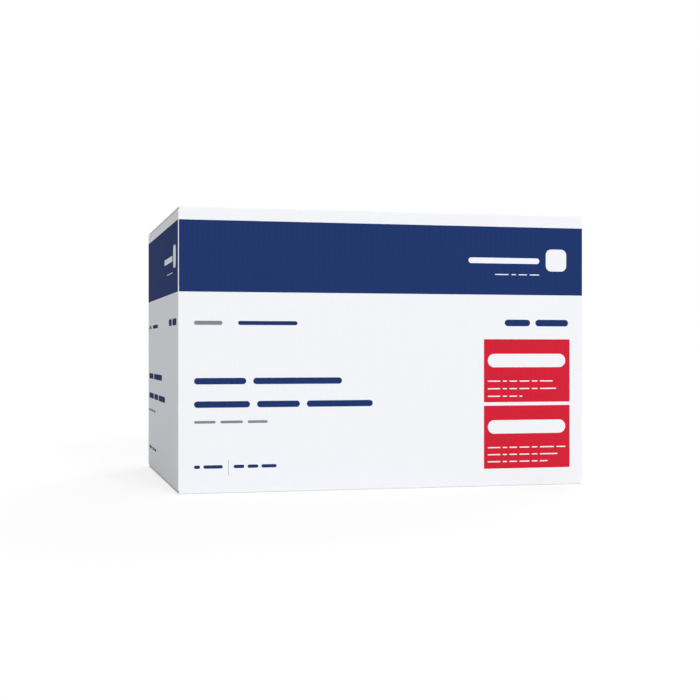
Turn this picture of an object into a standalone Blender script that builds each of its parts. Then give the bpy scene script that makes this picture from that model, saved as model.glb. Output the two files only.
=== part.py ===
"""A sealed corrugated shipping carton, in metres, standing on z = 0 with its length along X.

One sheet of white-lined board is slotted, scored and folded into a tube, joined at one corner and
closed with four glued flaps at each end. The long flaps lie on the short ones and meet in a seam.
"""

import math

import bmesh
import bpy
from mathutils import Matrix, Vector

# The closed carton, outside
LENGTH = 0.500
WIDTH = 0.374
HEIGHT = 0.331

# The board: two liners glued to a fluted medium, and the round that a scored line folds to
BOARD = 0.003
LINER = 0.0004
FLUTE_PITCH = 0.0065
FOLD_RADIUS = 0.001

# The flaps: how far a raw end lies back from the fold under it, and the gap left where they meet
RAW_END_SETBACK = 0.0012
SEAM_GAP = 0.002

# The printed band that runs round all four walls
BAND_HEIGHT = 0.083
BAND_TO_TOP = 0.0149

# The two printed fields at the lower right of the front wall
FIELD_WIDTH = 0.1118
UPPER_FIELD_HEIGHT = 0.0767
LOWER_FIELD_HEIGHT = 0.0767
FIELD_GAP = 0.0042
FIELD_TO_BOTTOM = 0.0213
FIELD_TO_RIGHT = 0.017

# How far a cutter runs past what it cuts, and how near its corners are to count as one
OVERRUN = 0.005
WELD = 0.00001

# Fineness of the rounds, the lean below which a face counts as square to an axis, and the decimal
# places of a metre that every corner's place is rounded to
FOLD_SEGMENTS = 5
WAVE_STEPS = 6
ROUND_SHARE = 0.5
FLAT_ANGLE = math.radians(3)
DECIMAL_PLACES = 7

# Places of the materials in the carton's list
WHITE, RAW, NAVY, RED = range(4)

# Distances that follow from the sizes above
half_length = LENGTH / 2
half_width = WIDTH / 2
flap_reach = WIDTH / 2
slot_depth = BOARD + FOLD_RADIUS


def finish(name, colour, roughness):
    """A material with one Principled shader."""
    material = bpy.data.materials.new(name)
    material.use_nodes = True
    shader = material.node_tree.nodes["Principled BSDF"]
    shader.inputs["Base Color"].default_value = (*colour, 1)
    shader.inputs["Roughness"].default_value = roughness
    shader.inputs["Metallic"].default_value = 0
    material.diffuse_color = (*colour, 1)
    return material


def new_object(name, built, collection):
    """An object of these faces in this collection, with the carton's materials.

    Its places are rounded, so that faces meant to lie in one plane do so exactly, and only the
    faces of a fold are shaded smooth.
    """
    for corner in built.verts:
        corner.co = [round(c, DECIMAL_PLACES) for c in corner.co]
    for face in built.faces:
        face.smooth = max(abs(c) for c in face.normal) < math.cos(FLAT_ANGLE)
    mesh = bpy.data.meshes.new(name)
    built.to_mesh(mesh)
    built.free()
    for material in board_finishes:
        mesh.materials.append(material)
    created = bpy.data.objects.new(name, mesh)
    collection.objects.link(created)
    return created


def block(low, high):
    """A mesh cube stretched from its lowest corner to its highest."""
    low, high = Vector(low), Vector(high)
    built = bmesh.new()
    place = Matrix.Translation((low + high) / 2) @ Matrix.Diagonal((*(high - low), 1))
    bmesh.ops.create_cube(built, size=1, matrix=place)
    return built


def print_field(built, wall, low, high, ink):
    """Cuts the faces of one wall along the edges of a field and gives those inside it an ink."""
    def faces_of_wall():
        return [face for face in built.faces if face.normal.dot(wall) > math.cos(FLAT_ANGLE)]

    for axis in range(3):
        across = Vector([float(i == axis) for i in range(3)])
        if wall.dot(across):
            continue
        for place in (low[axis], high[axis]):
            faces = faces_of_wall()
            edges = [edge for edge in built.edges if any(face in faces for face in edge.link_faces)]
            corners = [corner for corner in built.verts if any(face in faces for face in corner.link_faces)]
            bmesh.ops.bisect_plane(
                built, geom=[*faces, *edges, *corners], plane_co=across * place, plane_no=across
            )
    for face in faces_of_wall():
        middle = face.calc_center_median()
        if all(a < m < b for a, m, b in zip(low, middle, high)):
            face.material_index = ink


def folded_sheet():
    """The closed carton before its slots and laps: a block with rounded folds and printed walls."""
    built = block((-half_length, -half_width, 0), (half_length, half_width, HEIGHT))
    folds = []
    for edge in built.edges:
        start, end = (corner.co for corner in edge.verts)
        middle = (start + end) / 2
        upright = abs(end.z - start.z) > HEIGHT / 2
        lengthwise = abs(end.x - start.x) > half_length
        joint = upright and middle.x > 0 and middle.y > 0
        if (upright or lengthwise) and not joint:
            folds.append(edge)
    bmesh.ops.bevel(
        built, geom=folds, offset=FOLD_RADIUS, segments=FOLD_SEGMENTS, profile=ROUND_SHARE, affect="EDGES"
    )

    band_top = HEIGHT - BAND_TO_TOP
    band_low = Vector((-LENGTH, -WIDTH, band_top - BAND_HEIGHT))
    band_high = Vector((LENGTH, WIDTH, band_top))
    for wall in (Vector((1, 0, 0)), Vector((-1, 0, 0)), Vector((0, 1, 0)), Vector((0, -1, 0))):
        print_field(built, wall, band_low, band_high, NAVY)

    right = half_length - FIELD_TO_RIGHT
    bottom = FIELD_TO_BOTTOM
    for height in (LOWER_FIELD_HEIGHT, UPPER_FIELD_HEIGHT):
        low = Vector((right - FIELD_WIDTH, -WIDTH, bottom))
        high = Vector((right, WIDTH, bottom + height))
        print_field(built, Vector((0, -1, 0)), low, high, RED)
        bottom += height + FIELD_GAP
    return built


def lap_outline():
    """The air beside a raw board end that lies on a folded board.

    x runs in from the wall that the fold belongs to, and y runs in from the lapping board's face.
    """
    points = [(-OVERRUN, -OVERRUN), (RAW_END_SETBACK, -OVERRUN), (RAW_END_SETBACK, BOARD)]
    for step in range(FOLD_SEGMENTS + 1):
        turn = math.pi / 2 * step / FOLD_SEGMENTS
        points.append((FOLD_RADIUS * (1 - math.sin(turn)), slot_depth - FOLD_RADIUS * math.cos(turn)))
    points.append((-OVERRUN, slot_depth))
    return points


def flute_outline():
    """The open flute in a raw end: the air between the liners as far as the medium's half wave."""
    points = [(0, BOARD - LINER), (0, LINER)]
    for step in range(WAVE_STEPS + 1):
        turn = math.pi * step / WAVE_STEPS
        depth = FLUTE_PITCH / 2 * step / WAVE_STEPS
        rise = (BOARD - 2 * LINER) * (1 - math.cos(turn)) / 2
        points.append((RAW_END_SETBACK + depth, LINER + rise))
    return points


def outline_cutter(name, points, length, corner, inward, down):
    """An outline drawn out along the edge at a corner. Its faces are white past the lapping board."""
    outline = bpy.data.curves.new(name, "CURVE")
    outline.dimensions = "2D"
    outline.fill_mode = "BOTH"
    outline.extrude = length / 2
    spline = outline.splines.new("POLY")
    spline.points.add(len(points) - 1)
    for point, (x, y) in zip(spline.points, points):
        point.co = (x, y, 0, 1)
    spline.use_cyclic_u = True
    drawn = bpy.data.objects.new(name, outline)
    cutters.objects.link(drawn)
    bpy.context.view_layer.update()
    mesh = bpy.data.meshes.new_from_object(drawn.evaluated_get(bpy.context.evaluated_depsgraph_get()))
    built = bmesh.new()
    built.from_mesh(mesh)
    bpy.data.objects.remove(drawn)
    bpy.data.meshes.remove(mesh)

    bmesh.ops.remove_doubles(built, verts=built.verts, dist=WELD)
    for face in built.faces:
        on_fold = face.calc_center_median().y > BOARD - LINER / 2
        face.material_index = WHITE if on_fold else RAW
    turn = Matrix((inward, down, inward.cross(down))).transposed().to_4x4()
    built.transform(Matrix.Translation(corner) @ turn)
    bmesh.ops.recalc_face_normals(built, faces=built.faces)
    if built.calc_volume(signed=True) < 0:
        bmesh.ops.reverse_faces(built, faces=built.faces)
    return new_object(name, built, cutters)


def cut_lap(name, length, corner, inward, down):
    """A raw end lapping a fold along a whole edge, with its flute open between the folds it ends at."""
    outline_cutter(f"{name}_lap", lap_outline(), length + 2 * OVERRUN, corner, inward, down)
    outline_cutter(f"{name}_flute", flute_outline(), length - 2 * BOARD, corner, inward, down)


def block_cutter(name, low, high, floor=None):
    """A raw-faced block cutter. A floor direction names the side that meets a white liner."""
    built = block(low, high)
    for face in built.faces:
        meets_liner = floor is not None and face.normal.dot(floor) > math.cos(FLAT_ANGLE)
        face.material_index = WHITE if meets_liner else RAW
    return new_object(name, built, cutters)


def cut_flap_end(level, outward):
    """The slots, laps and seam of the four flaps that close one end of the tube.

    level is the height of the flaps' outer face, and outward is 1 at the top and -1 at the bottom.
    """
    side = "top" if outward > 0 else "bottom"
    clear = level + outward * OVERRUN
    in_one_board = level - outward * BOARD
    in_two_boards = level - outward * 2 * BOARD
    slot_floor = level - outward * slot_depth
    for end in (-1, 1):
        corner = Vector((end * half_length, 0, level))
        cut_lap(f"{side}_{end}", WIDTH, corner, Vector((-end, 0, 0)), Vector((0, 0, -outward)))
        slot_x = sorted((end * (half_length - RAW_END_SETBACK), end * (half_length + OVERRUN)))
        for flank in (-1, 1):
            slot_y = sorted((flank * (half_width - slot_depth), flank * (half_width + OVERRUN)))
            low = (slot_x[0], slot_y[0], min(slot_floor, clear))
            high = (slot_x[1], slot_y[1], max(slot_floor, clear))
            block_cutter(f"{side}_slot_{end}_{flank}", low, high)

    gap = SEAM_GAP / 2
    seam_end = half_length + OVERRUN
    open_end = half_length - flap_reach
    inner_face = Vector((0, 0, -outward))
    for name, reach, depth in (("seam", seam_end, in_one_board), ("seam_centre", open_end, in_two_boards)):
        low = (-reach, -gap, min(depth, clear))
        high = (reach, gap, max(depth, clear))
        block_cutter(f"{side}_{name}", low, high, inner_face)


for leftover in list(bpy.data.objects):
    bpy.data.objects.remove(leftover)

carton_parts = bpy.data.collections.new("shipping_carton")
cutters = bpy.data.collections.new("carton_cutters")
for collection in (carton_parts, cutters):
    bpy.context.scene.collection.children.link(collection)

board_finishes = [
    finish("coated_white_liner", (0.888, 0.905, 0.939), 0.55),
    finish("raw_board_end", (0.823, 0.807, 0.768), 0.9),
    finish("navy_ink", (0.018, 0.039, 0.153), 0.4),
    finish("red_ink", (0.658, 0.015, 0.038), 0.4),
]

carton = new_object("carton", folded_sheet(), carton_parts)

cut_flap_end(HEIGHT, 1)
cut_flap_end(0, -1)

# The maker's joint: the back wall's raw end lies on a tab folded from the right-hand end wall
joint_corner = Vector((half_length, half_width, HEIGHT / 2))
cut_lap("joint", HEIGHT, joint_corner, Vector((-1, 0, 0)), Vector((0, -1, 0)))

for cutter in cutters.objects:
    cutter.hide_render = True
    cutter.display_type = "WIRE"

slotting = carton.modifiers.new("slots_laps_and_seams", "BOOLEAN")
slotting.operation = "DIFFERENCE"
slotting.solver = "EXACT"
slotting.operand_type = "COLLECTION"
slotting.collection = cutters
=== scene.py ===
"""A sealed and printed shipping carton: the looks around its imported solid, in metres."""

import math

import bmesh
import bpy
from mathutils import Matrix, Vector


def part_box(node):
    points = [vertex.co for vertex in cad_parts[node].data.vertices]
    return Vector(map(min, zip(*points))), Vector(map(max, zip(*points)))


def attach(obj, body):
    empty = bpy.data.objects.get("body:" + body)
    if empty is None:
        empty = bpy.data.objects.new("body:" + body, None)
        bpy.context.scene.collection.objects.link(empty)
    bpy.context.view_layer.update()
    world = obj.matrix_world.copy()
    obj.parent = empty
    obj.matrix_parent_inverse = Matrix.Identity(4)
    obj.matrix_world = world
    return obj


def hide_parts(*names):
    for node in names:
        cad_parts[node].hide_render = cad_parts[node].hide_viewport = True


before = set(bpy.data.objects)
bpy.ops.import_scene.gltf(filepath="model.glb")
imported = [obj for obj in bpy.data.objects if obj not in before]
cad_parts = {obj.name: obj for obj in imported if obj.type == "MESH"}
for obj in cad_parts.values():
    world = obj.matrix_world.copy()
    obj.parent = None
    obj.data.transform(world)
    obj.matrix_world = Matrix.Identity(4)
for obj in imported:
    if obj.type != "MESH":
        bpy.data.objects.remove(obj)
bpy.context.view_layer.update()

# The carton board. One sheet of white-lined corrugated board is slotted and scored flat, folded into
# a tube round the goods and glued shut, so its outer liner is one skin. The glued flutes draw that
# liner in a little between their crests, upright on the walls and straight on over the folds.
BOARD = 0.003
LINER = 0.0004
FOLD_RADIUS = 0.001
SEAM_GAP = 0.002
FLUTE_PITCH = 0.0065

# How deep the flutes are open in a cut end, how far the liner dips between two of them, how far from
# a score they are crushed flat, and how far inside its walls the board is drawn to leave the ink room
FLUTE_DEPTH = 0.0045
WASHBOARD = 0.00002
CRUSHED = 0.006
INK_ROOM = 0.00012

# Fineness of the flutes, and how far a fold's own faces are left alone beyond its round
COLUMNS_PER_FLUTE = 6
FOLD_MARGIN = 0.0003

# What counts as one corner, one plane, one direction, a slope, one surface, and a crease between two
MERGE = 0.000001
ON_PLANE = 0.00001
ALIGNED = 0.9995
SLOPING = 0.01
COPLANAR = math.radians(0.2)
CREASE_ANGLE = math.radians(30)

# The patterns in paper, by the size of their patches in millimetres. Real fibres are about 0.03 mm
# wide, and are drawn far coarser here so that they show.
CLOUD_MM = 9
GRAIN_MM = 1.6
TORN_MM = 0.8
FIBRE_MM = 0.5

# How much a flute's dip counts beside the mottle, and the ranges of their sum and of the grain that
# the tones and the roughness span
DIP_WEIGHT = 0.5
TONE_RANGE = (0.7, 1.7)
GRAIN_RANGE = (0.3, 0.7)
COATING_IOR = 1.5
RAW_ROUGHNESS = 0.95
RAW_GLOSS = 0.002

low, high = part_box("carton")
half = (high - low) / 2
middle = (high + low) / 2
X, Y, Z = (Vector(axis) for axis in ((1, 0, 0), (0, 1, 0), (0, 0, 1)))
WHITE, RAW = range(2)


def linear(colour):
    """An sRGB hex colour as linear red, green, blue and alpha."""
    shares = [int(colour[place : place + 2], 16) / 255 for place in (1, 3, 5)]
    return (*(s / 12.92 if s <= 0.04045 else ((s + 0.055) / 1.055) ** 2.4 for s in shares), 1)


def add_node(tree, kind, inputs, **settings):
    """A node of this kind with these settings. An input that is given a socket is linked to it."""
    node = tree.nodes.new(kind)
    for name, value in settings.items():
        setattr(node, name, value)
    for place, value in inputs.items():
        if isinstance(value, bpy.types.NodeSocket):
            tree.links.new(value, node.inputs[place])
        else:
            node.inputs[place].default_value = value
    return node


def new_material(name):
    """An empty node material, its tree and its output node."""
    material = bpy.data.materials.new(name)
    material.use_nodes = True
    tree = material.node_tree
    tree.nodes.clear()
    return material, tree, tree.nodes.new("ShaderNodeOutputMaterial")


def per_mm(size):
    """The scale that gives a pattern of this size in millimetres on coordinates in metres."""
    return 1000 / size


def coated_paper(name, crest, dip, rough, fibre, gloss):
    """Paper printed or coated in one colour, which gives the eye a flat tone with a faint mottle.

    crest and dip are its tones on a glued flute and between two flutes, rough its lowest and highest
    roughness, fibre the height of its fibres, and gloss its specular level.
    """
    material, tree, output = new_material(name)
    place = add_node(tree, "ShaderNodeTexCoord", {}).outputs["Object"]
    flute = add_node(tree, "ShaderNodeAttribute", {}, attribute_name="flute_dip").outputs["Fac"]
    cloud = add_node(
        tree, "ShaderNodeTexNoise", {"Vector": place, "Scale": per_mm(CLOUD_MM), "Detail": 4}
    )
    grain = add_node(
        tree, "ShaderNodeTexNoise", {"Vector": place, "Scale": per_mm(GRAIN_MM), "Detail": 3}
    )
    mottle = add_node(
        tree, "ShaderNodeMath", {0: cloud.outputs["Fac"], 1: grain.outputs["Fac"]}, operation="ADD"
    )
    tone = add_node(
        tree,
        "ShaderNodeMath",
        {0: flute, 1: DIP_WEIGHT, 2: mottle.outputs[0]},
        operation="MULTIPLY_ADD",
    )
    share = add_node(
        tree,
        "ShaderNodeMapRange",
        {"Value": tone.outputs[0], "From Min": TONE_RANGE[0], "From Max": TONE_RANGE[1]},
    )
    colour = add_node(
        tree,
        "ShaderNodeMix",
        {0: share.outputs[0], 6: linear(crest), 7: linear(dip)},
        data_type="RGBA",
    )
    roughness = add_node(
        tree,
        "ShaderNodeMapRange",
        {
            "Value": grain.outputs["Fac"],
            "From Min": GRAIN_RANGE[0],
            "From Max": GRAIN_RANGE[1],
            "To Min": rough[0],
            "To Max": rough[1],
        },
    )
    fibres = add_node(
        tree, "ShaderNodeTexNoise", {"Vector": place, "Scale": per_mm(FIBRE_MM), "Detail": 2}
    )
    bump = add_node(tree, "ShaderNodeBump", {"Height": fibres.outputs["Fac"], "Distance": fibre})
    shader = add_node(
        tree,
        "ShaderNodeBsdfPrincipled",
        {
            "Base Color": colour.outputs[2],
            "Roughness": roughness.outputs[0],
            "Normal": bump.outputs[0],
            "Specular IOR Level": gloss,
            "IOR": COATING_IOR,
        },
    )
    tree.links.new(shader.outputs[0], output.inputs["Surface"])
    return material


def white_liner():
    """Clay-coated bleached paper: a smooth, faintly mottled cool white with a low sheen.

    Its tone between two flutes is a touch darker, which is painted shade in the washboard's dips.
    """
    return coated_paper(
        "clay_coated_white_liner",
        crest="#F3F5F9",
        dip="#F1F3F7",
        rough=(0.5, 0.62),
        fibre=0.000004,
        gloss=0.002,
    )


def raw_paper(name, light, dark, torn_height):
    """Bleached paper with no coating: quite matt and warmer than the liner, its fibres standing up.

    light and dark are its tones, and torn_height is how far its fibres stand up.
    """
    material, tree, output = new_material(name)
    place = add_node(tree, "ShaderNodeTexCoord", {}).outputs["Object"]
    torn = add_node(
        tree, "ShaderNodeTexNoise", {"Vector": place, "Scale": per_mm(TORN_MM), "Detail": 5}
    )
    colour = add_node(
        tree,
        "ShaderNodeMix",
        {0: torn.outputs["Fac"], 6: linear(light), 7: linear(dark)},
        data_type="RGBA",
    )
    bump = add_node(
        tree, "ShaderNodeBump", {"Height": torn.outputs["Fac"], "Distance": torn_height}
    )
    shader = add_node(
        tree,
        "ShaderNodeBsdfPrincipled",
        {
            "Base Color": colour.outputs[2],
            "Roughness": RAW_ROUGHNESS,
            "Normal": bump.outputs[0],
            "Specular IOR Level": RAW_GLOSS,
        },
    )
    tree.links.new(shader.outputs[0], output.inputs["Surface"])
    return material


def washboard(place, half_span, to_score):
    """How far the outer liner dips below its plane, at a place across the flutes.

    half_span is half the panel's width and to_score the distance to the nearest score that runs
    across the flutes. They are crushed flat beside a score or a corner.
    """
    room = min(to_score, half_span - abs(place)) / CRUSHED
    fade = max(0, min(1, room))
    return WASHBOARD * fade * (1 - math.cos(2 * math.pi * place / FLUTE_PITCH)) / 2


def columns(start, end):
    """Places across the flutes from start to end, a few to each flute."""
    step = FLUTE_PITCH / COLUMNS_PER_FLUTE
    first, last = math.ceil(start / step), math.floor(end / step)
    inner = [i * step for i in range(first, last + 1)]
    return [start, *(p for p in inner if start + MERGE < p < end - MERGE), end]


def faces_in_plane(built, normal, plane):
    """The faces with this outward normal that lie this far along it."""
    return [
        face
        for face in built.faces
        if face.normal.dot(normal) > ALIGNED and abs(face.verts[0].co.dot(normal) - plane) < ON_PLANE
    ]


def cut_faces(built, faces, axis, places):
    """Cuts these faces at these places along an axis. Returns all that they are cut into."""
    edges = dict.fromkeys(edge for face in faces for edge in face.edges)
    corners = dict.fromkeys(corner for face in faces for corner in face.verts)
    geometry = [*faces, *edges, *corners]
    for place in places:
        cut = bmesh.ops.bisect_plane(
            built, geom=geometry, dist=MERGE, plane_co=axis * place, plane_no=axis
        )
        geometry = cut["geom"]
    return [part for part in geometry if isinstance(part, bmesh.types.BMFace)]


def cut_panel(built, normal, axis, places):
    """Cuts the outer panel that has this normal at these places along an axis."""
    plane = normal.dot(middle) + abs(normal.dot(half))
    cut_faces(built, faces_in_plane(built, normal, plane), axis, places)


def open_flutes(built, outward, flank):
    """Sinks the space between the liners into the cut end of a long flap, where two flaps meet.

    outward is 1 for a top flap and -1 for a bottom one, and flank tells on which side it lies.
    """
    level = high.z if outward > 0 else low.z
    across = sorted(level - outward * depth for depth in (LINER, BOARD - LINER))
    reach = half.x - 2 * BOARD
    wall = faces_in_plane(built, Y * -flank, -SEAM_GAP / 2)
    wall = [face for face in wall if outward * face.calc_center_median().z > outward * middle.z]
    wall = cut_faces(built, cut_faces(built, wall, X, (-reach, reach)), Z, across)
    between = [
        face
        for face in wall
        if abs(face.calc_center_median().x) < reach
        and across[0] < face.calc_center_median().z < across[1]
    ]
    sunk = bmesh.ops.extrude_face_region(built, geom=between)["geom"]
    corners = [part for part in sunk if isinstance(part, bmesh.types.BMVert)]
    bmesh.ops.translate(built, vec=Y * flank * FLUTE_DEPTH, verts=corners)
    bmesh.ops.delete(built, geom=between, context="FACES_ONLY")


def is_raw(face):
    """Whether a face of the carton is a cut through the board, and not a liner."""
    normal, place = face.normal, face.calc_center_median()
    inward = [half[i] - abs(place[i] - middle[i]) for i in range(3)]
    facing = max(range(3), key=lambda i: abs(normal[i]))
    if abs(normal[facing]) < ALIGNED:
        return abs(normal.x) > SLOPING and inward[0] > FOLD_RADIUS
    if inward[facing] < ON_PLANE:
        return False
    boards_down = inward[2] / BOARD
    on_liner = facing == 2 and abs(boards_down - round(boards_down)) * BOARD < ON_PLANE
    return not on_liner


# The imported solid's faces are taken without their stored normals, which don't fit the cuts made here
packed_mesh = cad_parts["carton"].data.copy()
stored_normals = packed_mesh.attributes.get("custom_normal")
if stored_normals:
    packed_mesh.attributes.remove(stored_normals)
board = bmesh.new()
board.from_mesh(packed_mesh)
bpy.data.meshes.remove(packed_mesh)
bmesh.ops.remove_doubles(board, verts=board.verts, dist=MERGE)
bmesh.ops.dissolve_limit(board, angle_limit=COPLANAR, verts=board.verts, edges=board.edges)
for face in board.faces:
    face.material_index = RAW if is_raw(face) else WHITE
for outward in (-1, 1):
    for flank in (-1, 1):
        open_flutes(board, outward, flank)

score_rows = (FOLD_RADIUS + FOLD_MARGIN, FOLD_RADIUS + CRUSHED)
heights = [height for row in score_rows for height in (low.z + row, high.z - row)]
x_reach, y_reach = (half[i] - FOLD_RADIUS - FOLD_MARGIN for i in (0, 1))
for side in (-1, 1):
    for wall, across, reach in ((side * Y, X, x_reach), (side * X, Y, y_reach)):
        cut_panel(board, wall, across, columns(-reach, reach))
        cut_panel(board, wall, Z, heights)
    cut_panel(board, side * Z, X, columns(-x_reach, x_reach))
    cut_panel(board, side * Z, Y, [end * (half.y - row) for end in (-1, 1) for row in score_rows])

dip_layer = board.verts.layers.float.new("flute_dip")
for corner in board.verts:
    place = corner.co - middle
    inward = [half[i] - abs(place[i]) for i in range(3)]
    facing = min(range(3), key=lambda i: inward[i])
    if inward[facing] > ON_PLANE:
        continue
    across = 1 if facing == 0 else 0
    to_score = inward[1] if facing == 2 else inward[2]
    dip = washboard(place[across], half[across] - FOLD_RADIUS, to_score - FOLD_RADIUS)
    corner[dip_layer] = dip / WASHBOARD
    corner.co[facing] -= math.copysign(dip, place[facing])

# The walls are drawn in a little, so that the ink on them stays inside the carton's own box
room_for_ink = Matrix.Diagonal((1 - INK_ROOM / half.x, 1 - INK_ROOM / half.y, 1, 1))
bmesh.ops.transform(board, matrix=room_for_ink, verts=board.verts)


def piece(name, built, *materials):
    """A finished piece of the carton, shaded smooth but for its creases."""
    mesh = bpy.data.meshes.new(name)
    built.to_mesh(mesh)
    built.free()
    for face in mesh.polygons:
        face.use_smooth = True
    mesh.set_sharp_from_angle(angle=CREASE_ANGLE)
    for material in materials:
        mesh.materials.append(material)
    made = bpy.data.objects.new(name, mesh)
    bpy.context.scene.collection.objects.link(made)
    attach(made, "root")
    return made


liner = white_liner()

# Where a knife has cut the board, its torn fibres give a rough, dull edge
cut_edge = raw_paper(
    "knife_cut_bleached_board", light="#F4F3F0", dark="#E6E5E1", torn_height=0.0002
)
carton_board = piece("carton_board", board, liner, cut_edge)
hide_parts("carton")

# The fluted medium. A sheet of paper is pressed into waves between hot rolls and glued between the
# liners. It shows as a wavy strip in the cut ends of the long flaps, where they meet in the seams.
MEDIUM = 0.00025
STEPS_PER_FLUTE = 10
STRIP_LENGTH = 2 * (half.x - 2 * BOARD)
STRIP_COLUMNS = round(STRIP_LENGTH / FLUTE_PITCH * STEPS_PER_FLUTE) + 1


def fluted_strips():
    """Geometry Nodes for four wavy strips: one, a second beside it, and a pair like them above."""
    tree = bpy.data.node_groups.new("fluted_strips", "GeometryNodeTree")
    kinds = {"Columns": "Int", "Pitch": "Float", "Half Rise": "Float", "Paper": "Material"}
    for name in ("Size", "Columns", "Pitch", "Half Rise", "First", "Beside", "Above", "Paper"):
        kind = f"NodeSocket{kinds.get(name, 'Vector')}"
        tree.interface.new_socket(name=name, in_out="INPUT", socket_type=kind)
    tree.interface.new_socket(name="Strips", in_out="OUTPUT", socket_type="NodeSocketGeometry")
    given = tree.nodes.new("NodeGroupInput").outputs

    flat = add_node(
        tree,
        "GeometryNodeMeshCube",
        {"Size": given["Size"], "Vertices X": given["Columns"], "Vertices Y": 2, "Vertices Z": 2},
    )
    place = add_node(tree, "GeometryNodeInputPosition", {})
    along = add_node(tree, "ShaderNodeSeparateXYZ", {"Vector": place.outputs[0]})
    flute = add_node(
        tree, "ShaderNodeMath", {0: along.outputs["X"], 1: given["Pitch"]}, operation="DIVIDE"
    )
    turn = add_node(
        tree, "ShaderNodeMath", {0: flute.outputs[0], 1: 2 * math.pi}, operation="MULTIPLY"
    )
    wave = add_node(tree, "ShaderNodeMath", {0: turn.outputs[0]}, operation="COSINE")
    rise = add_node(
        tree, "ShaderNodeMath", {0: wave.outputs[0], 1: given["Half Rise"]}, operation="MULTIPLY"
    )
    up = add_node(tree, "ShaderNodeCombineXYZ", {"Z": rise.outputs[0]})
    strip = add_node(
        tree, "GeometryNodeSetPosition", {"Geometry": flat.outputs["Mesh"], "Offset": up.outputs[0]}
    )
    beside = add_node(
        tree,
        "GeometryNodeMeshLine",
        {"Count": 2, "Start Location": given["First"], "Offset": given["Beside"]},
    )
    pair = add_node(
        tree, "GeometryNodeInstanceOnPoints", {"Points": beside.outputs[0], "Instance": strip.outputs[0]}
    )
    above = add_node(tree, "GeometryNodeMeshLine", {"Count": 2, "Offset": given["Above"]})
    pairs = add_node(
        tree, "GeometryNodeInstanceOnPoints", {"Points": above.outputs[0], "Instance": pair.outputs[0]}
    )
    real = add_node(tree, "GeometryNodeRealizeInstances", {"Geometry": pairs.outputs[0]})
    papered = add_node(
        tree, "GeometryNodeSetMaterial", {"Geometry": real.outputs[0], "Material": given["Paper"]}
    )
    add_node(tree, "NodeGroupOutput", {"Strips": papered.outputs[0]})
    return tree


# Fluting is thinner and smoother than the cut board. Its tones are a shade greyer than the cut board's,
# as painted shade for its hollow
fluting_paper = raw_paper(
    "corrugated_fluting_paper", light="#EDECE8", dark="#E0DED9", torn_height=0.00008
)
strip_gap = Y * (SEAM_GAP + FLUTE_DEPTH)
strip_sizes = {
    "Size": (STRIP_LENGTH, FLUTE_DEPTH, MEDIUM),
    "Columns": STRIP_COLUMNS,
    "Pitch": FLUTE_PITCH,
    "Half Rise": (BOARD - 2 * LINER - MEDIUM) / 2,
    "First": Z * (low.z + BOARD / 2) - strip_gap / 2,
    "Beside": strip_gap,
    "Above": Z * (high.z - low.z - BOARD),
    "Paper": fluting_paper,
}
pattern = bpy.data.objects.new("fluting_pattern", bpy.data.meshes.new("fluting_pattern"))
bpy.context.scene.collection.objects.link(pattern)
fluting = pattern.modifiers.new("fluted_strips", "NODES")
fluting.node_group = fluted_strips()
for socket in fluting.node_group.interface.items_tree:
    if socket.in_out == "INPUT":
        fluting[socket.identifier] = strip_sizes[socket.name]
waves = bpy.data.meshes.new_from_object(
    pattern.evaluated_get(bpy.context.evaluated_depsgraph_get())
)
bpy.data.objects.remove(pattern)

flutes = bmesh.new()
flutes.from_mesh(waves)
bpy.data.meshes.remove(waves)
bmesh.ops.recalc_face_normals(flutes, faces=flutes.faces)
seam_flutes = piece("seam_flutes", flutes, fluting_paper)

# The navy band. Plates lay water-based ink on the flat sheet before it is folded, as a thin film that
# dips with the flutes. The band runs round all four walls in two lengths. They meet with a bare line
# between them at the front's left-hand fold, and part at the maker's joint behind the right-hand end.
# That bare line is unprinted liner and is also a painted highlight along the fold.
BAND_HEIGHT = 0.083
BAND_TO_TOP = 0.0149
BAND_BOTTOM = high.z - BAND_TO_TOP - BAND_HEIGHT
RAW_END_SETBACK = 0.0012

# The film is drawn thicker than the real one, so that it stays clear of the liner in a coarse viewer
INK_FILM = 0.00005

# Fineness of a fold and of a rounded corner in the ink, and the length of liner in a fold's quarter turn
FOLD_STEPS = 6
ROUND_STEPS = 6
FOLD_ARC = math.pi / 2 * FOLD_RADIUS


class Wall:
    """A wall as it is seen from outside, with the wall that follows past its right-hand fold."""

    def __init__(self, along, width):
        self.along = along
        self.outward = along.cross(Z)
        self.width = width
        self.depth = abs(self.outward.dot(half)) - INK_ROOM
        self.following = None
        self.fold_start = width - INK_ROOM - FOLD_RADIUS
        self.fold_end = self.fold_start + FOLD_ARC
        self.turned = INK_ROOM + FOLD_RADIUS - self.fold_end

    def point(self, place, height, lift):
        """A point of the liner's skin and the share of a flute's dip there.

        place runs right from the wall's left edge, and past its fold on to the following wall.
        """
        if place > self.fold_end:
            return self.following.point(place + self.turned, height, lift)
        flute = min(place, self.fold_start) - self.width / 2
        turn = max(0, place - self.fold_start) / FOLD_RADIUS
        dip = washboard(flute, self.width / 2 - FOLD_RADIUS, CRUSHED)
        radius = FOLD_RADIUS + lift - dip
        out = self.depth - FOLD_RADIUS + radius * math.cos(turn)
        across = flute + radius * math.sin(turn)
        return self.along * across + self.outward * out + Z * height, dip / WASHBOARD

    def places(self, start, end):
        """Places from start to end that follow the flutes, and the fold where there is one."""
        centre = self.width / 2
        found = [centre + p for p in columns(start - centre, min(end, self.fold_start) - centre)]
        if end > self.fold_start:
            found += [self.fold_start + FOLD_ARC * step / FOLD_STEPS for step in range(1, FOLD_STEPS)]
            beyond = self.following.places(INK_ROOM + FOLD_RADIUS, end + self.turned)
            found += [p - self.turned for p in beyond]
        return found


FRONT = Wall(X, 2 * half.x)
RIGHT_END = Wall(Y, 2 * half.y)
BACK = Wall(-X, 2 * half.x)
LEFT_END = Wall(-Y, 2 * half.y)
FRONT.following, BACK.following = RIGHT_END, LEFT_END


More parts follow.
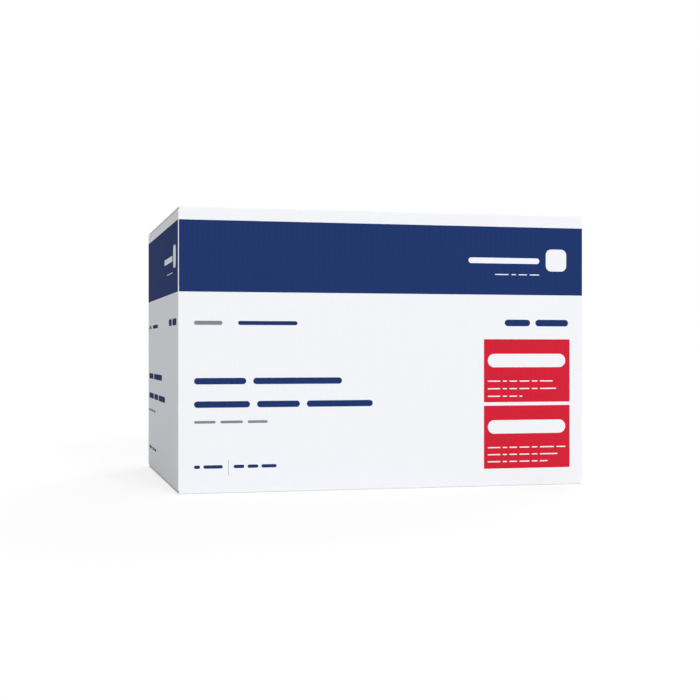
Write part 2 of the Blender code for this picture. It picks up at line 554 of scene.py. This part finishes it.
class Plate:
    """A printing plate: areas of one ink, over what the plates before it have printed."""

    def __init__(self, wall, layer=0):
        self.wall = wall
        self.lift = INK_FILM * (layer + 1)
        self.built = bmesh.new()
        self.dips = self.built.verts.layers.float.new("flute_dip")

    def corner(self, place, height, lift):
        """A corner of the ink, this far above the liner."""
        point, dip = self.wall.point(place, height, lift)
        made = self.built.verts.new(point)
        made[self.dips] = dip
        return made

    def area(self, left, bottom, width, height, radius=0):
        """A rectangle of ink with rounded corners, made of upright strips across the flutes."""
        right = left + width
        places = set(self.wall.places(left, right))
        for step in range(ROUND_STEPS + 1):
            inset = radius * (1 - math.cos(math.pi / 2 * step / ROUND_STEPS))
            places |= {left + inset, right - inset}
        rings, last = [], -1
        for place in sorted(places):
            if place - last < MERGE:
                continue
            last = place
            bend = max(0, radius - (place - left), radius - (right - place))
            trim = radius - math.sqrt(max(0, radius**2 - bend**2))
            low_edge, high_edge = bottom + trim, bottom + height - trim
            film = ((low_edge, self.lift), (high_edge, self.lift))
            under = ((high_edge, self.lift - INK_FILM), (low_edge, self.lift - INK_FILM))
            rings.append([self.corner(place, edge, lift) for edge, lift in (*film, *under)])
        for here, beyond in zip(rings, rings[1:]):
            for i in range(4):
                j = (i + 1) % 4
                self.built.faces.new((here[i], here[j], beyond[j], beyond[i]))
        self.built.faces.new(rings[0])
        self.built.faces.new(reversed(rings[-1]))

    def printed(self, name, ink, slot):
        """The plate's ink as a piece of the carton."""
        bmesh.ops.remove_doubles(self.built, verts=self.built.verts, dist=MERGE)
        bmesh.ops.recalc_face_normals(self.built, faces=self.built.faces)
        made = piece(name, self.built, ink)
        return made


def navy_ink():
    """Water-based navy ink on a coated liner: deep, nearly matt, and a little thinner in a dip."""
    return coated_paper(
        "navy_flexographic_ink",
        crest="#22366A",
        dip="#24396D",
        rough=(0.42, 0.55),
        fibre=0.000003,
        gloss=0.0012,
    )


navy = navy_ink()
# The front's band starts past its left-hand fold and the left end's stops before it, so the fold stays
# bare liner: a painted highlight along that fold
left_tangent = INK_ROOM + FOLD_RADIUS
round_corner = FRONT.fold_end - left_tangent
right_end_length = RIGHT_END.width - BOARD - FOLD_RADIUS
left_end_length = LEFT_END.fold_start

front_band = Plate(FRONT)
front_band.area(left_tangent, BAND_BOTTOM, round_corner - left_tangent + right_end_length, BAND_HEIGHT)
front_band.printed("navy_band_front_and_right", navy, "navy_ink")
back_band = Plate(BACK)
back_band.area(
    RAW_END_SETBACK, BAND_BOTTOM, round_corner - RAW_END_SETBACK + left_end_length, BAND_HEIGHT
)
back_band.printed("navy_band_back_and_left", navy, "navy_ink")

# The red fields. Two equal areas of red ink stand one above the other at the lower right of the
# front. They are printed on the flat sheet, like the band, with bare liner all round each of them.
FIELD_WIDTH = 0.1118
FIELD_HEIGHT = 0.0767
FIELD_GAP = 0.0042
FIELD_TO_RIGHT = 0.017
FIELD_TO_BOTTOM = 0.0213


def red_ink():
    """Water-based red ink on a coated liner: strong, nearly matt, and a little thinner in a dip."""
    return coated_paper(
        "red_flexographic_ink",
        crest="#D22438",
        dip="#D4273B",
        rough=(0.42, 0.55),
        fibre=0.000003,
        gloss=0.002,
    )


field_left = FRONT.width - FIELD_TO_RIGHT - FIELD_WIDTH
field_bottoms = [FIELD_TO_BOTTOM + i * (FIELD_HEIGHT + FIELD_GAP) for i in range(2)]
fields = Plate(FRONT)
for bottom in field_bottoms:
    fields.area(field_left, bottom, FIELD_WIDTH, FIELD_HEIGHT)
fields.printed("red_fields", red_ink(), "red_ink")

# The bars. The front and the left-hand end have lines of plain round-ended bars in navy and grey ink,
# printed on the flat sheet. Those in the band and in the fields are left unprinted and show the liner.
WORD_SPACE_SHARE = 0.5
RHYTHM_SHARES = (2.6, 0.9, 1.6, 2.1, 1.2, 3.0, 1.4)

# The share of a line's letter height that its bars cover, from the thinnest to the boldest
HAIR_SHARE = 0.17
THIN_SHARE = 0.225
LIGHT_SHARE = 0.27
BOOK_SHARE = 0.32
MEDIUM_SHARE = 0.45
STRONG_SHARE = 0.5
BOLD_SHARE = 0.58

# The lines on the bare wall, from the upper left down, with their heights above the floor
UPPER_BASE = 0.192
UPPER_LETTERS = 0.0105
UPPER_GREY = (0.033,)
UPPER_NAVY = (0.0703,)
UPPER_NAVY_START = 0.0512
CORNER_LETTERS = 0.0138
CORNER_LINE = (0.033, 0.0431)
CORNER_REACH = 0.083
TITLE_LETTERS = 0.0165
TITLE_LINES = {0.1215: (0.0608, 0.1062), 0.0945: (0.0652, 0.051, 0.0802)}
LOWER_BASE = 0.0768
LOWER_LETTERS = 0.0112
LOWER_LINE = (0.025, 0.0262, 0.0236)
FOOT_BASE = 0.0268
FOOT_LETTERS = 0.0077
FOOT_LINES = {0: (0.007, 0.0225), 0.046: (0.0125, 0.0125, 0.018)}
RULE_START = 0.0398
RULE_BOTTOM = 0.0205
RULE_WIDTH = 0.0004
RULE_HEIGHT = 0.018

# The rounded square in the band and the two lines that end beside it
SQUARE_SIZE = 0.027
SQUARE_ROUND = 0.007
SQUARE_BOTTOM = 0.2625
BAND_LINE_REACH = 0.1135
BAND_LINE_BASE = 0.264
BAND_LINE_LETTERS = 0.0215
BAND_LINE = (0.0915,)
BAND_SMALL_REACH = 0.0795
BAND_SMALL_BASE = 0.2545
BAND_SMALL_LETTERS = 0.0068
BAND_SMALL_LENGTH = 0.0575

# The lines in each red field, with their heights above its lower edge
FIELD_MARGIN = 0.005
FIELD_LINE_BASE = 0.0325
FIELD_LINE_LETTERS = 0.0365
FIELD_LINE = (0.101,)
FIELD_SMALL_BASE = 0.0225
FIELD_SMALL_LETTERS = 0.0062
LOWER_SMALL_PITCH = 0.0086
LOWER_SMALL_LENGTHS = (0.1013, 0.0907, 0.0777)
UPPER_SMALL_PITCH = 0.0092
UPPER_SMALL_LENGTHS = (0.0845, 0.089, 0.0447)


def grey_ink():
    """Water-based grey ink on a coated liner: a flat mid grey that lets the flutes show faintly."""
    return coated_paper(
        "grey_flexographic_ink",
        crest="#82878B",
        dip="#868B8F",
        rough=(0.45, 0.58),
        fibre=0.000003,
        gloss=0.002,
    )


def bars(plate, weight, left, base, letters, lengths):
    """A line of bars of these lengths from its left end, over letters of this height.

    weight is the share of that height that a bar covers.
    """
    thickness = letters * weight
    for length in lengths:
        plate.area(left, base + (letters - thickness) / 2, length, thickness, thickness / 2)
        left += length + letters * WORD_SPACE_SHARE


def small_bars(plate, weight, left, base, letters, length):
    """A line of small bars of varied length, of which the last fills what is left of this length."""
    place, lengths = left, []
    while place < left + length:
        room = left + length - place
        bar = min(letters * RHYTHM_SHARES[len(lengths) % len(RHYTHM_SHARES)], room)
        if room - bar < letters * 2 * WORD_SPACE_SHARE:
            bar = room
        lengths.append(bar)
        place += bar + letters * WORD_SPACE_SHARE
    bars(plate, weight, left, base, letters, lengths)


def wall_bars(wall, left, right, square):
    """The navy, grey and unprinted bars that the front and the left-hand end share.

    left and right are where the lines start and end, and square is the middle of the one in the band.
    """
    dark, grey, bare = Plate(wall), Plate(wall), Plate(wall, layer=1)

    bars(grey, MEDIUM_SHARE, left, UPPER_BASE, UPPER_LETTERS, UPPER_GREY)
    bars(dark, MEDIUM_SHARE, left + UPPER_NAVY_START, UPPER_BASE, UPPER_LETTERS, UPPER_NAVY)
    bars(dark, BOLD_SHARE, right - CORNER_REACH, UPPER_BASE, CORNER_LETTERS, CORNER_LINE)
    for base, lengths in TITLE_LINES.items():
        bars(dark, MEDIUM_SHARE, left, base, TITLE_LETTERS, lengths)
    bars(grey, LIGHT_SHARE, left, LOWER_BASE, LOWER_LETTERS, LOWER_LINE)
    for start, lengths in FOOT_LINES.items():
        bars(dark, STRONG_SHARE, left + start, FOOT_BASE, FOOT_LETTERS, lengths)
    grey.area(left + RULE_START, RULE_BOTTOM, RULE_WIDTH, RULE_HEIGHT)

    bare.area(square - SQUARE_SIZE / 2, SQUARE_BOTTOM, SQUARE_SIZE, SQUARE_SIZE, SQUARE_ROUND)
    line_left, small_left = square - BAND_LINE_REACH, square - BAND_SMALL_REACH
    bars(bare, BOOK_SHARE, line_left, BAND_LINE_BASE, BAND_LINE_LETTERS, BAND_LINE)
    small_bars(
        bare, HAIR_SHARE, small_left, BAND_SMALL_BASE, BAND_SMALL_LETTERS, BAND_SMALL_LENGTH
    )
    return dark, grey, bare


grey = grey_ink()
front_dark, front_grey, front_bare = wall_bars(FRONT, left=0.0185, right=0.481, square=0.465)
left = field_left + FIELD_MARGIN
small_pitches = (LOWER_SMALL_PITCH, UPPER_SMALL_PITCH)
small_lengths = (LOWER_SMALL_LENGTHS, UPPER_SMALL_LENGTHS)
for bottom, pitch, lengths in zip(field_bottoms, small_pitches, small_lengths):
    bars(front_bare, MEDIUM_SHARE, left, bottom + FIELD_LINE_BASE, FIELD_LINE_LETTERS, FIELD_LINE)
    for line, length in enumerate(lengths):
        base = bottom + FIELD_SMALL_BASE - line * pitch
        small_bars(front_bare, THIN_SHARE, left, base, FIELD_SMALL_LETTERS, length)
front_dark.printed("front_navy_bars", navy, "navy_ink")
front_grey.printed("front_grey_bars", grey, "grey_ink")
front_bare.printed("front_unprinted_bars", liner, "white_board")

end_dark, end_grey, end_bare = wall_bars(LEFT_END, left=0.015, right=0.357, square=0.337)
end_dark.printed("left_end_navy_bars", navy, "navy_ink")
end_grey.printed("left_end_grey_bars", grey, "grey_ink")
end_bare.printed("left_end_unprinted_bars", liner, "white_board")

# The stage. A plain pale floor, soft lamps and an even white studio light the carton, and the camera
# stands at the photograph's viewing angle, level and turned a little to the right.
CAMERA_PLACE = (-0.42, -1.703, 0.1658)
CAMERA_TURN = math.radians(-13.84)
LENS_MM = 67.75
SENSOR_MM = 36

# The floor's half width, the grey that lights the carton, and the grey and the glow that are seen
FLOOR_HALF = 60
FLOOR_GREY = 0.5
FLOOR_SEEN = 0.4
FLOOR_GLOW = 0.65

# How brightly the studio lights the carton, where 1 is the white that is seen
AMBIENT = 0.65

camera = bpy.data.objects.new("camera", bpy.data.cameras.new("camera"))
camera.location = CAMERA_PLACE
camera.rotation_euler = (math.pi / 2, 0, CAMERA_TURN)
camera.data.lens = LENS_MM
camera.data.sensor_width = SENSOR_MM
bpy.context.scene.collection.objects.link(camera)
bpy.context.scene.camera = camera


def seen_share(tree):
    """1 where the camera, a reflection or clear stuff shows a surface, and 0 where it lights others."""
    rays = add_node(tree, "ShaderNodeLightPath", {}).outputs
    shown = add_node(
        tree,
        "ShaderNodeMath",
        {0: rays["Is Camera Ray"], 1: rays["Is Glossy Ray"]},
        operation="ADD",
    )
    shown = add_node(
        tree,
        "ShaderNodeMath",
        {0: shown.outputs[0], 1: rays["Is Transmission Ray"]},
        operation="ADD",
        use_clamp=True,
    )
    return shown.outputs[0]


def floor_finish():
    """A matt pale floor that is seen nearly white, so that only the soft shadow shows on it."""
    material, tree, output = new_material("matt_pale_floor")
    pale = add_node(tree, "ShaderNodeBsdfDiffuse", {"Color": (*[FLOOR_GREY] * 3, 1)})
    seen = add_node(tree, "ShaderNodeBsdfDiffuse", {"Color": (*[FLOOR_SEEN] * 3, 1)})
    glow = add_node(tree, "ShaderNodeEmission", {"Color": (1, 1, 1, 1), "Strength": FLOOR_GLOW})
    washed = add_node(tree, "ShaderNodeAddShader", {0: seen.outputs[0], 1: glow.outputs[0]})
    mixed = add_node(
        tree,
        "ShaderNodeMixShader",
        {0: seen_share(tree), 1: pale.outputs[0], 2: washed.outputs[0]},
    )
    tree.links.new(mixed.outputs[0], output.inputs["Surface"])
    return material


ground = bmesh.new()
bmesh.ops.create_grid(ground, x_segments=1, y_segments=1, size=FLOOR_HALF)
floor_mesh = bpy.data.meshes.new("floor")
ground.to_mesh(floor_mesh)
ground.free()
floor_mesh.materials.append(floor_finish())
floor = bpy.data.objects.new("floor", floor_mesh)
bpy.context.scene.collection.objects.link(floor)


def add_sun(name, azimuth, elevation, strength, softness):
    """A soft lamp far away. Azimuth 0 stands in front of the carton and turns towards its right.

    azimuth, elevation and softness are in degrees, and a strength of 1 shows a white wall as white.
    """
    lamp = bpy.data.lights.new(name, "SUN")
    lamp.energy = strength * math.pi
    lamp.angle = math.radians(softness)
    holder = bpy.data.objects.new(name, lamp)
    turn, rise = math.radians(azimuth), math.radians(elevation)
    aim = Vector((math.sin(turn) * math.cos(rise), -math.cos(turn) * math.cos(rise), math.sin(rise)))
    holder.rotation_euler = aim.to_track_quat("Z", "Y").to_euler()
    bpy.context.scene.collection.objects.link(holder)


add_sun("key_lamp", azimuth=12, elevation=20, strength=0.5, softness=30)
add_sun("back_lamp", azimuth=150, elevation=20, strength=0.4, softness=40)

world = bpy.data.worlds.new("studio")
world.use_nodes = True
world.node_tree.nodes.clear()
sky = world.node_tree
ambient = add_node(sky, "ShaderNodeBackground", {"Color": (1, 1, 1, 1), "Strength": AMBIENT})
white = add_node(sky, "ShaderNodeBackground", {"Color": (1, 1, 1, 1), "Strength": 1})
mixed = add_node(
    sky, "ShaderNodeMixShader", {0: seen_share(sky), 1: ambient.outputs[0], 2: white.outputs[0]}
)
add_node(sky, "ShaderNodeOutputWorld", {"Surface": mixed.outputs[0]})
bpy.context.scene.world = world
bpy.context.scene.view_settings.view_transform = "Standard"
